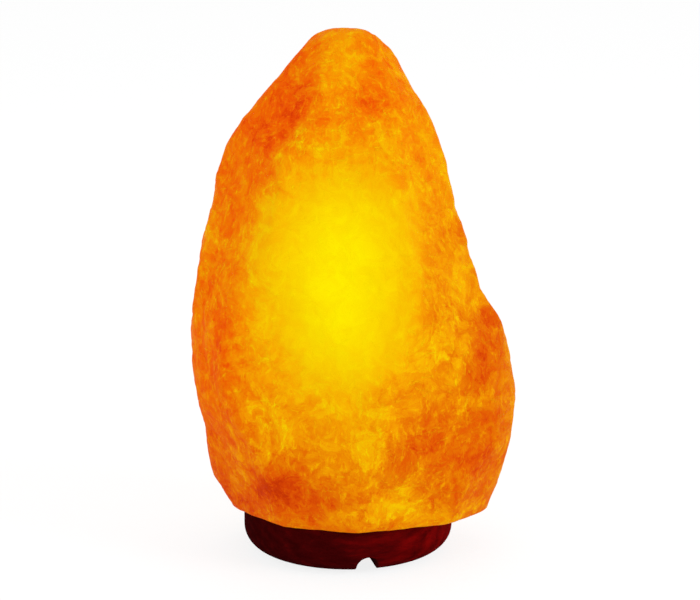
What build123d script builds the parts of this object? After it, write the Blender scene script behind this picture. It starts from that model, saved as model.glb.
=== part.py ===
from build123d import *
import os
from math import cos, radians, sin, sqrt

# Salt crystal lamp: a hewn rock-salt crystal screwed down on a turned wooden base. A lampholder with a sprung
# clip pushes up into the bore from below and carries a small tubular bulb inside the crystal.
# Millimetres and degrees. +Z is up, the origin is on the table under the bore's axis, and the cord's groove
# leaves the base along -Y.

# ---- Felt pads and wooden base ----
pad_thickness = 1.5
pad_radius = 5.5
pad_count = 4
pad_first_angle = 45.0

base_radius = 49.0
base_height = 22.0
base_lower_round = 10.0
bullnose_facet_count = 3
bore_radius = 23.0  # one drilled bore runs through the base and up into the crystal

groove_width = 10.5
groove_height = 8.2

# ---- Crystal ----
crystal_turn = -11.5  # the broad face against the groove, about Z
crystal_height = 225.0
crystal_blank = 400.0  # side of the raw block that the facets are cut from
crystal_bore_depth = 142.0
crystal_bore_end_cone = 5.0  # height of the drill's coned end
facet_centre_height = 100.0  # above the sawn face
# Each hewn facet: direction round Z, tilt above the horizon, distance from the facet centre
crystal_facets = [
    (-171.2, -29.8, 96.2),
    (-177.2, -10.3, 78.2),
    (180.0, 0.0, 73.2),
    (177.0, 11.2, 70.5),
    (168.3, 37.2, 87.7),
    (-5.8, -20.8, 96.5),
    (-2.0, -7.3, 83.0),
    (2.7, 10.0, 68.0),
    (5.0, 18.1, 62.4),
    (8.4, 28.6, 72.8),
    (18.8, 50.2, 102.0),
    (-144.0, -19.0, 82.4),
    (-108.0, -19.0, 83.8),
    (-70.0, -17.0, 83.4),
    (-36.0, -16.0, 89.6),
    (40.0, -15.0, 85.9),
    (88.0, -19.0, 76.0),
    (136.0, -17.0, 81.1),
    (-152.0, 2.0, 73.2),
    (-104.0, 3.0, 59.6),
    (-58.0, 2.0, 65.4),
    (-28.0, 4.0, 73.6),
    (32.0, 3.0, 67.8),
    (76.0, 0.0, 62.4),
    (118.0, 4.0, 63.6),
    (150.0, 1.0, 71.8),
    (-140.0, 17.0, 68.4),
    (-88.0, 15.0, 57.6),
    (-40.0, 18.0, 61.4),
    (48.0, 17.0, 60.1),
    (98.0, 16.0, 57.4),
    (138.0, 19.0, 69.7),
    (-128.0, 36.0, 83.4),
    (-76.0, 33.0, 75.5),
    (-28.0, 35.0, 80.2),
    (44.0, 36.0, 81.8),
    (96.0, 34.0, 77.8),
    (140.0, 38.0, 86.6),
    (-95.0, 52.0, 102.1),
    (70.0, 54.0, 105.1),
    (180.0, 58.0, 111.4),
    (0.0, 88.0, 126.9),
]
# The ledge on the right: the wedge outside both of these planes is split away
ledge_facets = [
    (3.8, 13.9, 59.2),
    (9.8, 32.4, 51.6),
]

# ---- Screws that hold the crystal down ----
screw_count = 2
screw_radius = 2.0
screw_clearance = 0.2
screw_head_radius = 3.8
screw_head_height = 2.4
screw_recess_radius = 4.6
screw_recess_depth = 6.0
screw_grip = 16.0  # how far the screw enters the crystal
screw_fit_in_salt = 0.05
cross_slot_width = 0.9
cross_slot_length = 4.0
cross_slot_depth = 1.3

# ---- Lampholder ----
nipple_height_in_base = 13.5  # leaves room for the cord to bend into the groove
nipple_length = 16.0
nipple_radius = 5.0
nipple_bore_radius = 3.75
thread_fit = 0.05

nut_height = 3.5
nut_across_flats = 14.0
nut_above_nipple_end = 4.5

clip_thickness = 0.8
clip_ring_radius = 10.5
clip_arm_count = 3
clip_first_angle = 90.0
clip_arm_width = 8.0
clip_foot_radius = 16.0  # where an arm turns up
clip_height = 40.0
clip_bore_clearance = 0.25

holder_radius = 13.8
cap_floor = 6.0
cap_height = 20.0
cap_wall = 4.2
spigot_height = 4.0
spigot_wall = 1.8
spigot_fit = 0.15

core_disc_height = 6.0
core_boss_height = 2.0
core_boss_radius = 3.1
core_block_length = 7.0
core_block_width = 9.0
core_block_drop = 9.0

skirt_length = 35.0
skirt_wall = 3.4

shell_inner_radius = 7.15
shell_wall = 0.35
shell_height = 21.0

strip_thickness = 0.5
strip_width = 4.0
strip_fit = 0.1
tongue_rise = 1.0
tongue_reach = 2.4

terminal_width = 6.5
terminal_depth = 3.6
terminal_height = 7.0
terminal_screw_head_radius = 2.0
terminal_screw_head_height = 1.1
terminal_screw_slot = 0.6

# ---- Bulb ----
contact_gap = 0.25
contact_radius = 2.4
contact_height = 1.3
insulator_height = 2.4
insulator_radius = 5.2
bulb_cap_radius = 6.85
bulb_cap_wall = 0.3
neck_fit = 0.05
bulb_cap_thread_length = 15.5
bulb_cap_skirt_radius = 7.55
bulb_cap_skirt_height = 6.2
bulb_length = 85.0  # from the tip of the contact to the top of the glass

glass_radius = 12.5
glass_wall = 0.7
glass_end_rounding = 5.0
glass_shoulder_height = 6.0

stem_tube_radius = 2.4
stem_tube_height = 13.0
stem_flare_height = 1.0
stem_pinch_width = 7.0
stem_pinch_thickness = 2.2
stem_pinch_height = 6.0
stem_rod_height = 6.0
stem_rod_radius = 1.1

lead_radius = 0.35
lead_spacing = 4.4
filament_radius = 0.3
filament_ring_radius = 7.0
filament_height_above_pinch = 17.0
support_radius = 0.2
support_count = 3

# ---- Heights and radii that follow ----
base_bottom = pad_thickness
base_top = base_bottom + base_height
foot_circle_radius = (bore_radius + base_radius - base_lower_round) / 2  # middle of the flat underside
crystal_bottom = base_top
crystal_bore_top = crystal_bottom + crystal_bore_depth
facet_centre = Vector(0, 0, crystal_bottom + facet_centre_height)

nipple_bottom = base_bottom + nipple_height_in_base
nut_bottom = nipple_bottom + nut_above_nipple_end
clip_bottom = nut_bottom + nut_height
cap_bottom = clip_bottom + clip_thickness
cap_rim = cap_bottom + cap_height
spigot_top = cap_rim + spigot_height
core_top = spigot_top + core_disc_height
boss_top = core_top + core_boss_height
tongue_top = boss_top + tongue_rise
skirt_top = cap_rim + skirt_length

cap_inner_radius = holder_radius - cap_wall
spigot_radius = cap_inner_radius + spigot_wall
core_radius = spigot_radius
strip_inside = core_block_length / 2
strip_outside = strip_inside + strip_thickness
terminal_top = spigot_top - strip_thickness
terminal_bottom = terminal_top - terminal_height
terminal_outside = strip_outside + terminal_depth

contact_bottom = tongue_top + contact_gap
insulator_bottom = contact_bottom + contact_height
bulb_cap_bottom = insulator_bottom + insulator_height
bulb_cap_skirt_bottom = bulb_cap_bottom + bulb_cap_thread_length
bulb_cap_top = bulb_cap_skirt_bottom + bulb_cap_skirt_height
glass_top = contact_bottom + bulb_length
neck_bottom = bulb_cap_skirt_bottom + bulb_cap_wall
glass_neck_radius = bulb_cap_skirt_radius - bulb_cap_wall - neck_fit
glass_inner_radius = glass_radius - glass_wall
neck_inner_radius = glass_neck_radius - glass_wall
flare_top = neck_bottom + stem_flare_height
pinch_bottom = neck_bottom + stem_tube_height
pinch_top = pinch_bottom + stem_pinch_height
rod_top = pinch_top + stem_rod_height
filament_height = pinch_top + filament_height_above_pinch
filament_underside = filament_height - filament_radius

pieces = []


def finish(builder, name):
    """Labels a finished piece and keeps it for export."""
    builder.part.label = name
    pieces.append(builder.part)


def round_profile(centre_radius, centre_height, radius, start, end, chords):
    """Points on a quarter or less of a round, in a profile to be revolved, from one angle to another."""
    angles = [start + (end - start) * chord / chords for chord in range(chords + 1)]
    return [
        (centre_radius + radius * cos(radians(angle)), centre_height + radius * sin(radians(angle)))
        for angle in angles
    ]


# ---- Felt pads ----
with BuildPart() as felt_pads:
    with BuildSketch(Plane.XY):
        with PolarLocations(foot_circle_radius, pad_count, pad_first_angle):
            Circle(pad_radius)
    extrude(amount=pad_thickness)
finish(felt_pads, "felt_pads")

# ---- Wooden base: a turned disc with a bullnosed lower edge ----
with BuildPart() as wood_base:
    with BuildSketch(Plane.XZ):
        with BuildLine():
            underside = Line((bore_radius, base_bottom), (base_radius - base_lower_round, base_bottom))
            bullnose = Polyline(
                *round_profile(
                    base_radius - base_lower_round, base_bottom + base_lower_round, base_lower_round, -90, 0,
                    bullnose_facet_count,
                )
            )
            Polyline(
                bullnose @ 1,
                (base_radius, base_top),
                (bore_radius, base_top),
                underside @ 0,
            )
        make_face()
    revolve(axis=Axis.Z)
    # the arched groove runs from the bore to the rim
    with BuildSketch(Plane.XZ):
        with Locations((0, base_bottom + groove_height - groove_width / 2)):
            Circle(groove_width / 2)
        with Locations((0, base_bottom)):
            Rectangle(groove_width, 2 * (groove_height - groove_width / 2))
    extrude(amount=base_radius + groove_width, mode=Mode.SUBTRACT)
    with Locations(Plane((0, 0, base_bottom), z_dir=(0, 0, -1))):
        with PolarLocations(foot_circle_radius, screw_count):
            CounterBoreHole(screw_radius + screw_clearance, screw_recess_radius, screw_recess_depth)
finish(wood_base, "wood_base")

# ---- Screws through the base into the crystal ----
screw_seat = base_bottom + screw_recess_depth
screw_head_bottom = screw_seat - screw_head_height
with BuildPart() as base_screw:
    with BuildSketch(Plane.XY.offset(screw_head_bottom)):
        Circle(screw_head_radius)
        Rectangle(cross_slot_length, cross_slot_width, mode=Mode.SUBTRACT)
        Rectangle(cross_slot_width, cross_slot_length, mode=Mode.SUBTRACT)
    extrude(amount=cross_slot_depth)
    with BuildSketch(Plane.XY.offset(screw_head_bottom + cross_slot_depth)):
        Circle(screw_head_radius)
    extrude(amount=screw_head_height - cross_slot_depth)
    with BuildSketch(Plane.XY.offset(screw_seat)):
        Circle(screw_radius)
    extrude(amount=base_top + screw_grip - screw_seat)

with BuildPart() as base_screws:
    with PolarLocations(foot_circle_radius, screw_count):
        add(base_screw.part)
finish(base_screws, "base_screws")

with BuildPart() as screw_pilot:
    with BuildSketch(Plane.XY.offset(crystal_bottom)):
        Circle(screw_radius + screw_fit_in_salt)
    extrude(amount=screw_grip + screw_fit_in_salt)


# ---- Crystal: a block cut down facet by facet, as it is hewn ----
def facet_plane(direction, tilt, distance):
    """The plane of one hewn facet, facing out of the crystal."""
    turned = radians(direction + crystal_turn)
    outward = Vector(
        cos(turned) * cos(radians(tilt)), sin(turned) * cos(radians(tilt)), sin(radians(tilt))
    )
    return Plane(facet_centre + outward * distance, z_dir=outward)


with BuildPart() as ledge_wedge:
    with BuildSketch(Plane.XY.offset(crystal_bottom)):
        Rectangle(crystal_blank, crystal_blank)
    extrude(amount=crystal_height + facet_centre_height)
    for ledge_facet in ledge_facets:
        split(bisect_by=facet_plane(*ledge_facet), keep=Keep.TOP)

with BuildPart() as salt_crystal:
    with BuildSketch(Plane.XY.offset(crystal_bottom)):
        Rectangle(crystal_blank, crystal_blank)
    extrude(amount=crystal_height)
    for crystal_facet in crystal_facets:
        split(bisect_by=facet_plane(*crystal_facet), keep=Keep.BOTTOM)
    add(ledge_wedge.part, mode=Mode.SUBTRACT)
    # the blind bore, with the coned end that the drill leaves
    with BuildSketch(Plane.XZ):
        with BuildLine():
            Polyline(
                (0, crystal_bottom),
                (bore_radius, crystal_bottom),
                (bore_radius, crystal_bore_top - crystal_bore_end_cone),
                (bore_radius - crystal_bore_end_cone, crystal_bore_top),
                (0, crystal_bore_top),
                close=True,
            )
        make_face()
    revolve(axis=Axis.Z, mode=Mode.SUBTRACT)
    with PolarLocations(foot_circle_radius, screw_count):
        add(screw_pilot.part, mode=Mode.SUBTRACT)
finish(salt_crystal, "salt_crystal")

# ---- Threaded nipple, the cord's way into the lampholder ----
with BuildPart() as nipple:
    with BuildSketch(Plane.XY.offset(nipple_bottom)):
        Circle(nipple_radius)
        Circle(nipple_bore_radius, mode=Mode.SUBTRACT)
    extrude(amount=nipple_length)
finish(nipple, "nipple")

# ---- Nut under the clip ----
with BuildPart() as lock_nut:
    with BuildSketch(Plane.XY.offset(nut_bottom)):
        RegularPolygon(nut_across_flats / 2, 6, major_radius=False)
        Circle(nipple_radius + thread_fit, mode=Mode.SUBTRACT)
    extrude(amount=nut_height)
finish(lock_nut, "lock_nut")

# ---- Spring clip: a ring with three bowed arms that bear on the bore ----
bow_reach = sqrt((bore_radius - clip_bore_clearance) ** 2 - (clip_arm_width / 2) ** 2) - clip_thickness / 2
bow_sagitta = bow_reach - clip_foot_radius
bow_radius = ((clip_height / 2) ** 2 + bow_sagitta**2) / (2 * bow_sagitta)
bow_centre = bow_reach - bow_radius
with BuildPart() as spring_clip:
    with BuildSketch(Plane.XY.offset(clip_bottom)):
        Circle(clip_ring_radius)
        with PolarLocations(0, clip_arm_count, clip_first_angle):
            with Locations((clip_foot_radius / 2, 0)):
                Rectangle(clip_foot_radius, clip_arm_width)
        Circle(nipple_radius + strip_fit, mode=Mode.SUBTRACT)
    extrude(amount=clip_thickness)
    for arm in range(clip_arm_count):
        arm_plane = Plane.XZ.rotated((0, 0, clip_first_angle + arm * 360 / clip_arm_count))
        with BuildSketch(arm_plane) as bow:
            with Locations((bow_centre, clip_bottom + clip_height / 2)):
                Circle(bow_radius + clip_thickness / 2)
                Circle(bow_radius - clip_thickness / 2, mode=Mode.SUBTRACT)
            with Locations((bow_reach, clip_bottom + clip_height / 2)):
                Rectangle(2 * (bow_sagitta + clip_thickness), clip_height, mode=Mode.INTERSECT)
        extrude(amount=clip_arm_width / 2, both=True)
finish(spring_clip, "spring_clip")

# ---- Holder cap: a cup with a floor for the nipple and a spigot for the skirt ----
with BuildPart() as holder_cap:
    with BuildSketch(Plane.XZ):
        with BuildLine():
            Polyline(
                (nipple_radius + thread_fit, cap_bottom),
                (holder_radius, cap_bottom),
                (holder_radius, cap_rim),
                (spigot_radius, cap_rim),
                (spigot_radius, spigot_top),
                (cap_inner_radius, spigot_top),
                (cap_inner_radius, cap_bottom + cap_floor),
                (nipple_radius + thread_fit, cap_bottom + cap_floor),
                close=True,
            )
        make_face()
    revolve(axis=Axis.Z)
finish(holder_cap, "holder_cap")

# ---- Core: the insulating block that carries the live parts ----
with BuildPart() as holder_core:
    with BuildSketch(Plane.XY.offset(spigot_top - core_block_drop)):
        Rectangle(core_block_length, core_block_width)
    extrude(amount=core_block_drop)
    with BuildSketch(Plane.XY.offset(spigot_top)):
        Circle(core_radius)
        with Locations((strip_inside + strip_thickness / 2, 0), (-strip_inside - strip_thickness / 2, 0)):
            Rectangle(strip_thickness + 2 * strip_fit, strip_width + 2 * strip_fit, mode=Mode.SUBTRACT)
    extrude(amount=core_disc_height)
    with BuildSketch(Plane.XY.offset(core_top)):
        Circle(core_boss_radius)
    extrude(amount=core_boss_height)
finish(holder_core, "holder_core")

# ---- Holder skirt: screws onto the cap's spigot and traps the core ----
skirt_inner_radius = holder_radius - skirt_wall
with BuildPart() as holder_skirt:
    with BuildSketch(Plane.XZ):
        with BuildLine():
            Polyline(
                (spigot_radius + spigot_fit, cap_rim),
                (holder_radius, cap_rim),
                (holder_radius, skirt_top),
                (skirt_inner_radius, skirt_top),
                (skirt_inner_radius, core_top),
                (spigot_radius + spigot_fit, core_top),
                close=True,
            )
        make_face()
    revolve(axis=Axis.Z)
finish(holder_skirt, "holder_skirt")

# ---- Screw shell that takes the bulb's cap ----
with BuildPart() as screw_shell:
    with BuildSketch(Plane.XY.offset(core_top)):
        Circle(shell_inner_radius + shell_wall)
        Circle(shell_inner_radius, mode=Mode.SUBTRACT)
    extrude(amount=shell_height)
finish(screw_shell, "screw_shell")

# ---- Sprung centre contact, from its terminal up through the core and over the boss ----
with BuildPart() as centre_contact:
    with BuildSketch(Plane.XZ):
        with BuildLine():
            Polyline(
                (strip_inside, terminal_bottom),
                (strip_outside, terminal_bottom),
                (strip_outside, boss_top + strip_thickness),
                (0, tongue_top),
                (-tongue_reach, boss_top + strip_thickness),
                (-tongue_reach, boss_top),
                (0, tongue_top - strip_thickness),
                (strip_inside, boss_top),
                close=True,
            )
        make_face()
    extrude(amount=strip_width / 2, both=True)
finish(centre_contact, "centre_contact")

# ---- Strap from the other terminal to the screw shell's foot ----
strap_reach = sqrt((shell_inner_radius - thread_fit) ** 2 - (strip_width / 2) ** 2)
with BuildPart() as shell_strap:
    with BuildSketch(Plane.XZ):
        with BuildLine():
            Polyline(
                (-strip_inside, terminal_bottom),
                (-strip_outside, terminal_bottom),
                (-strip_outside, core_top),
                (-strap_reach, core_top),
                (-strap_reach, core_top + strip_thickness),
                (-strip_inside, core_top + strip_thickness),
                close=True,
            )
        make_face()
    extrude(amount=strip_width / 2, both=True)
finish(shell_strap, "shell_strap")

# ---- Terminals and the heads of their screws ----
terminal_middle = (strip_outside + terminal_outside) / 2
terminal_screw_height = terminal_bottom + terminal_height * 0.6
with BuildPart() as terminals:
    with BuildSketch(Plane.XY.offset(terminal_bottom)):
        with Locations((terminal_middle, 0), (-terminal_middle, 0)):
            Rectangle(terminal_depth, terminal_width)
    extrude(amount=terminal_height)
finish(terminals, "terminals")

with BuildPart() as terminal_screw:
    with BuildSketch(Plane.YZ.offset(terminal_outside)):
        with Locations((0, terminal_screw_height)):
            Circle(terminal_screw_head_radius)
    extrude(amount=terminal_screw_head_height)
    with BuildSketch(Plane.YZ.offset(terminal_outside + terminal_screw_head_height)):
        with Locations((0, terminal_screw_height)):
            Rectangle(2 * terminal_screw_head_radius, terminal_screw_slot)
    extrude(amount=-terminal_screw_head_height / 2, mode=Mode.SUBTRACT)

with BuildPart() as terminal_screws:
    with PolarLocations(0, 2):
        add(terminal_screw.part)
finish(terminal_screws, "terminal_screws")

# ---- Solder contact at the foot of the bulb ----
with BuildPart() as bulb_contact:
    with BuildSketch(Plane.XY.offset(contact_bottom)):
        Circle(contact_radius)
    extrude(amount=contact_height)
finish(bulb_contact, "bulb_contact")

# ---- Black glass insulator between the contact and the cap ----
with BuildPart() as cap_insulator:
    with BuildSketch(Plane.XY.offset(insulator_bottom)):
        Circle(insulator_radius)
    extrude(amount=insulator_height)
finish(cap_insulator, "cap_insulator")

# ---- Bulb cap: a brass cup for the screw shell, wider at the skirt that grips the glass ----
with BuildPart() as bulb_cap:
    with BuildSketch(Plane.XY.offset(bulb_cap_bottom)):
        Circle(bulb_cap_radius)
    extrude(amount=bulb_cap_thread_length)
    with BuildSketch(Plane.XY.offset(bulb_cap_skirt_bottom)):
        Circle(bulb_cap_skirt_radius)
    extrude(amount=bulb_cap_skirt_height)
    with BuildSketch(Plane.XY.offset(neck_bottom)):
        Circle(bulb_cap_skirt_radius - bulb_cap_wall)
    extrude(amount=bulb_cap_top - neck_bottom, mode=Mode.SUBTRACT)
finish(bulb_cap, "bulb_cap")

# ---- Glass: a tube with a rounded end, drawn in to a neck ----
shoulder_bottom = bulb_cap_top + glass_wall
shoulder_top = shoulder_bottom + glass_shoulder_height
with BuildPart() as bulb_glass:
    with BuildSketch(Plane.XZ):
        with BuildLine():
            Polyline(
                (0, glass_top),
                (glass_radius - glass_end_rounding, glass_top),
                (glass_radius, glass_top - glass_end_rounding),
                (glass_radius, shoulder_top),
                (glass_neck_radius, shoulder_bottom),
                (glass_neck_radius, neck_bottom),
                (neck_inner_radius, neck_bottom),
                (neck_inner_radius, shoulder_bottom),
                (glass_inner_radius, shoulder_top),
                (glass_inner_radius, glass_top - glass_end_rounding),
                (glass_inner_radius - glass_end_rounding + glass_wall, glass_top - glass_wall),
                (0, glass_top - glass_wall),
                close=True,
            )
        make_face()
    revolve(axis=Axis.Z)
finish(bulb_glass, "bulb_glass")

# ---- Stem: a flare that seals the neck, a tube, the flat pinch and a rod ----
with BuildPart() as bulb_stem:
    with BuildSketch(Plane.XY.offset(neck_bottom)):
        Circle(neck_inner_radius)
    extrude(amount=stem_flare_height)
    with BuildSketch(Plane.XY.offset(flare_top)):
        Circle(stem_tube_radius)
    extrude(amount=pinch_bottom - flare_top)
    with BuildSketch(Plane.XY.offset(pinch_bottom)):
        Rectangle(stem_pinch_width, stem_pinch_thickness)
    extrude(amount=stem_pinch_height)
    with BuildSketch(Plane.XY.offset(pinch_top)):
        Circle(stem_rod_radius)
    extrude(amount=stem_rod_height)
finish(bulb_stem, "bulb_stem")

# ---- Two leads from the pinch, splayed out to the ends of the filament ----
lead_rise = filament_underside - pinch_top
with BuildPart() as lead_wires:
    for side in (1, -1):
        with BuildLine():
            lead_path = Polyline(
                (side * lead_spacing / 2, 0, pinch_top),
                (side * lead_spacing / 2, 0, pinch_top + lead_rise / 4),
                (side * filament_ring_radius, 0, filament_underside - lead_rise / 6),
                (side * filament_ring_radius, 0, filament_underside),
            )
        with BuildSketch(Plane(lead_path @ 0, z_dir=lead_path % 0)):
            RegularPolygon(lead_radius, 8)
        sweep(path=lead_path, transition=Transition.RIGHT)
finish(lead_wires, "lead_wires")

# ---- Filament: straight runs round half a ring, from lead to lead ----
filament_angles = [180 * turn / (support_count + 1) for turn in range(support_count + 2)]
filament_points = [
    (
        filament_ring_radius * cos(radians(angle)),
        filament_ring_radius * sin(radians(angle)),
        filament_height,
    )
    for angle in filament_angles
]
with BuildPart() as filament:
    with BuildLine():
        filament_path = Polyline(*filament_points)
    with BuildSketch(Plane(filament_path @ 0, z_dir=filament_path % 0)):
        RegularPolygon(filament_radius, 8, rotation=22.5)
    sweep(path=filament_path, transition=Transition.RIGHT)
finish(filament, "filament")

# ---- Fine supports from the rod to each bend of the filament ----
support_start = stem_rod_radius + strip_fit / 2
support_height = rod_top - stem_rod_height / 4
with BuildPart() as filament_supports:
    for angle in filament_angles[1:-1]:
        spoke = Vector(cos(radians(angle)), sin(radians(angle)), 0)
        rise = Vector(0, 0, 1)
        with BuildLine():
            support_path = Polyline(
                spoke * support_start + rise * support_height,
                spoke * (support_start + stem_rod_radius) + rise * support_height,
                spoke * filament_ring_radius + rise * (filament_underside - lead_rise / 8),
                spoke * filament_ring_radius + rise * filament_underside,
            )
        with BuildSketch(Plane(support_path @ 0, z_dir=support_path % 0)):
            RegularPolygon(support_radius, 6)
        sweep(path=support_path, transition=Transition.RIGHT)
finish(filament_supports, "filament_supports")

os.makedirs("parts", exist_ok=True)
for piece in pieces:
    export_step(piece, f"parts/{piece.label}.step")
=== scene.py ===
import math
import bmesh
import bpy
import numpy as np
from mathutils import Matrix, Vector


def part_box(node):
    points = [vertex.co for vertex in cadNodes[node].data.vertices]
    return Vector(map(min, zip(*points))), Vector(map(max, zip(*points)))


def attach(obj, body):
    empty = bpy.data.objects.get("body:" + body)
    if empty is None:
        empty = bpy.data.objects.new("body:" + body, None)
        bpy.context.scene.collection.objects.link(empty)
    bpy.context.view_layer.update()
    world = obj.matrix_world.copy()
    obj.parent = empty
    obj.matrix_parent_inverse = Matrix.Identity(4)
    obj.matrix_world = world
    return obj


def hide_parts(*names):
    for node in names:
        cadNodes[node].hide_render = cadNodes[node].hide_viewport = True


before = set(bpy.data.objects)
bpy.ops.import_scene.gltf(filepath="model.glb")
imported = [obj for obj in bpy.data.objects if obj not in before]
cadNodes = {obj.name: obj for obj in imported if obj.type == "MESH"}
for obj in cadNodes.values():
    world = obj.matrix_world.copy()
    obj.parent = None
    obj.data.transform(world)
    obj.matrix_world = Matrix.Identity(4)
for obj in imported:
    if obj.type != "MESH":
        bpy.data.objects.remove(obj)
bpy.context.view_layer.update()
print("frame loaded:", len(cadNodes), "nodes")

mm = 0.001


# ring of angles: equal steps once round, the last one short of the first
def ringAngles(count):
    return np.arange(count) * (2 * math.pi / count)


# points from radius, angle and height: radius x cosine, radius x sine, height
def ringPoints(radius, angle, height):
    return np.stack(np.broadcast_arrays(radius * np.cos(angle), radius * np.sin(angle), height), -1)


# smooth step: 0 below low, 1 above high, 3t^2 - 2t^3 between
def smoothStep(low, high, value):
    t = np.clip((value - low) / (high - low), 0, 1)
    return t * t * (3 - 2 * t)


# a fixed random number from 0 to 1 for each corner of a cube lattice, from its three whole numbers
def cornerNumber(corner, seed):
    mixed = corner[..., 0] * 73856093 ^ corner[..., 1] * 19349663 ^ corner[..., 2] * 83492791
    mixed = (mixed ^ seed * 668265263) & 0xFFFFFFFF
    for shift, factor in ((15, 2246822519), (13, 3266489917)):
        mixed = (mixed ^ mixed >> shift) * factor & 0xFFFFFFFF
    return ((mixed ^ mixed >> 16) & 0xFFFFFF) / 0xFFFFFF


# rolling noise, -1 to 1: the corner numbers of a point's cube, mixed by 6t^5 - 15t^4 + 10t^3 along each side
def rolling(points, size, seed):
    cell = points / size
    low = np.floor(cell).astype(np.int64)
    t = cell - low
    t = t * t * t * (t * (t * 6 - 15) + 10)
    total = np.zeros(points.shape[:-1])
    for corner in range(8):
        step = np.array([corner & 1, corner >> 1 & 1, corner >> 2 & 1])
        total += np.where(step, t, 1 - t).prod(-1) * cornerNumber(low + step, seed)
    return total * 2 - 1


# layered noise: each layer half as large and half as strong as the one before
def layered(points, size, layers, seed):
    total = sum(rolling(points, size / 2**k, seed + k) / 2**k for k in range(layers))
    return total / (2 - 2.0 ** (1 - layers))


# scallops, 0 to about 1: the distance to the nearest of one scattered point in each cube of a lattice
def scallops(points, size, seed):
    cell = points / size
    low = np.floor(cell).astype(np.int64)
    nearest = np.full(points.shape[:-1], 9.0)
    for number in range(27):
        corner = low + np.array([number % 3, number // 3 % 3, number // 9]) - 1
        scatter = np.stack([cornerNumber(corner, seed + axis) for axis in range(3)], -1)
        nearest = np.minimum(nearest, ((corner + scatter - cell) ** 2).sum(-1))
    return np.sqrt(nearest)


# faces of a grid whose columns close round: each joins row to next row and column to next column
def gridFaces(rows, columns, wrapRows):
    r, c = np.meshgrid(np.arange(rows if wrapRows else rows - 1), np.arange(columns), indexing="ij")
    rNext, cNext = (r + 1) % rows, (c + 1) % columns
    corners = [r * columns + c, r * columns + cNext, rNext * columns + cNext, rNext * columns + c]
    return np.stack(corners, -1).reshape(-1, 4)


# puts grids into one mesh, welds seams and poles, and turns the faces outward
def gridMesh(name, grids, wrapRows=False, weld=2e-6, sharp=38, values=None):
    faces, start = [], 0
    for grid in grids:
        faces.append(gridFaces(*grid.shape[:2], wrapRows) + start)
        start += grid.shape[0] * grid.shape[1]
    mesh = bpy.data.meshes.new(name)
    mesh.from_pydata(np.concatenate([grid.reshape(-1, 3) for grid in grids]), [], np.concatenate(faces))
    for key, value in (values or {}).items():
        mesh.attributes.new(key, "FLOAT", "POINT").data.foreach_set("value", value.astype(np.float32).ravel())
    work = bmesh.new()
    work.from_mesh(mesh)
    bmesh.ops.remove_doubles(work, verts=work.verts, dist=weld)
    bmesh.ops.dissolve_degenerate(work, dist=weld / 4, edges=work.edges)
    bmesh.ops.recalc_face_normals(work, faces=work.faces)
    work.to_mesh(mesh)
    work.free()
    mesh.shade_smooth()
    mesh.set_sharp_from_angle(angle=math.radians(sharp))
    return mesh


def addObject(name, data):
    made = bpy.data.objects.new(name, data)
    bpy.context.scene.collection.objects.link(made)
    return made


# a piece: its mesh, the body it rides on, its finish and the solid it stands for
def addPiece(name, mesh, body, finish, node):
    piece = addObject(name, mesh)
    mesh.materials.append(finish)
    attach(piece, body)
    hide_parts(node)


# a piece whose grids are in millimetres
def gridPiece(name, grids, body, slot, finish, node, weld=1e-6, **options):
    addPiece(name, gridMesh(name, [grid * mm for grid in grids], weld=weld, **options), body, finish, node)


# a solid's lowest and highest point, in millimetres
def heights(node):
    return [corner.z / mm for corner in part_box(node)]


# corners of a ring's cut, or a disc's where the inner radius is 0
def ringCut(inner, outer, low, high):
    return np.array([[inner, low], [outer, low], [outer, high], [inner, high]])


# a profile with eased corners: round each corner, (1-t)^2 before + 2t(1-t) corner + t^2 after
def easedProfile(corners, ease, steps=5, closed=True):
    corners = np.array(corners, float)
    count, parts = len(corners), []
    t = np.linspace(0, 1, steps)[:, None]
    for i in range(count):
        here, before, after = corners[i], corners[i - 1], corners[(i + 1) % count]
        reach = ease[i] if hasattr(ease, "__len__") else ease
        if (not closed and i in (0, count - 1)) or reach <= 0:
            parts.append(here[None])
            continue
        a, b = (here + (end - here) * min(reach / np.linalg.norm(end - here), 0.48) for end in (before, after))
        parts.append((1 - t) ** 2 * a + 2 * t * (1 - t) * here + t**2 * b)
    return np.concatenate(parts)


# more points on a profile, none further apart than the spacing
def finer(profile, spacing, closed=True):
    parts = []
    following = np.roll(profile, -1, 0) if closed else profile[1:]
    for a, b in zip(profile, following):
        steps = max(1, math.ceil(np.linalg.norm(b - a) / spacing))
        parts.append(a + (b - a) * (np.arange(steps) / steps)[:, None])
    if not closed:
        parts.append(profile[-1:])
    return np.concatenate(parts)


# turned surface: a profile of radius and height, carried once round the Z axis
def turned(profile, columns, radiusChange=None):
    angle = ringAngles(columns)[None]
    radius, height = profile[:, :1], profile[:, 1:]
    if radiusChange:
        radius = radius + radiusChange(radius, height, angle)
    return ringPoints(radius, angle, height)


# lathe work: corners of radius and height, eased, filled in to the spacing and carried round
def lathe(corners, ease, spacing, columns, radiusChange=None, steps=5, closed=True):
    return turned(finer(easedProfile(corners, ease, steps, closed), spacing, closed), columns, radiusChange)


# carried surface: a flat section (across, up) carried along a path, closed with a point at each end
def carried(path, section, up):
    path, section = np.asarray(path, float), np.asarray(section, float)
    along = np.gradient(path, axis=0)
    along /= np.linalg.norm(along, axis=1)[:, None]
    across = np.cross(along, np.broadcast_to(up, along.shape))
    across /= np.linalg.norm(across, axis=1)[:, None]
    over = np.cross(across, along)
    grid = path[:, None] + across[:, None] * section[None, :, :1] + over[:, None] * section[None, :, 1:]
    ends = [np.repeat(path[k][None, None], len(section), 1) for k in (0, -1)]
    return np.concatenate([ends[0], grid, ends[1]])


# round section: cosine and sine of equal angles times the radius
def roundSection(radius, sides):
    return ringPoints(radius, ringAngles(sides), 0)[:, :2]


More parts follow.
